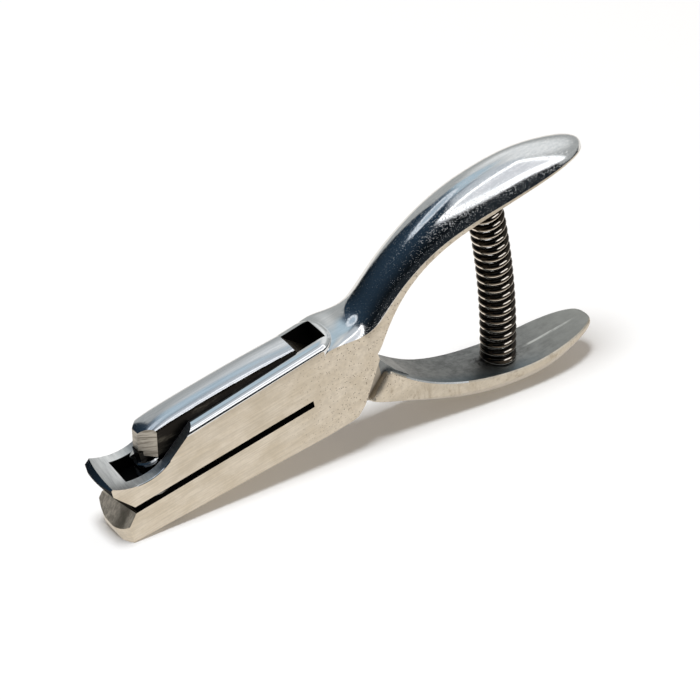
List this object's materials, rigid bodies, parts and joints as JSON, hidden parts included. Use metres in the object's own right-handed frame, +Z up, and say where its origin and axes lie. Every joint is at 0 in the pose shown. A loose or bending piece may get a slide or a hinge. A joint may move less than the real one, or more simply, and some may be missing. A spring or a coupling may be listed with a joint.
{
  "type": "plier hole punch",
  "caption": "Hand plier punch for tickets and cards: a hollow body with a narrow paper slot, sprung handles, a lever arm on top, and a round punch and die.",
  "frame": {"origin": "on the surface that the tool stands on, under the middle of its box", "axes": "+X from the jaws to the handles, +Y to the far side, +Z up; the paper slot rises to the rear by about 12.3 degrees, as the tool stands on its lower jaw and lower handle"},
  "size_m": [0.1346, 0.014, 0.0632],
  "materials": {
    "polished_forging": "mirror polished top, sides ground satin",
    "lever_forging": "polished arm, ground sides, forged grey grip face",
    "ground_pin": "ground flush with the body",
    "tool_steel": "hardened and ground",
    "spring_wire": "bright plated wire",
    "dark_stud": "turned"
  },
  "bodies": {
    "frame": {"body": "polished_forging", "pivot_pin": "ground_pin", "die": "tool_steel", "upper_spring_stud": "dark_stud", "return_spring": "spring_wire"},
    "lever_arm": {"lever": "lever_forging", "lower_spring_stud": "dark_stud"},
    "punch_set": {"punch": "tool_steel", "cross_pin": "tool_steel"}
  },
  "joints": [
    {"name": "lever_pivot", "type": "hinge", "parent": "frame", "child": "lever_arm", "pos_m": [-0.00856, 0, 0.01704], "axis": [0, -1, 0], "range_deg": [0, 4.4], "stiffness_Nm_per_rad": 8, "springref_deg": -2.29, "deforming": ["return_spring"]},
    {"name": "punch_slide", "type": "slide", "parent": "frame", "child": "punch_set", "axis": [0.2129, 0, -0.9771], "range_m": [0, 0.0035]}
  ],
  "couplings": [
    {"joint": "punch_slide", "follows": "lever_pivot", "m_per_rad": 0.04447}
  ]
}
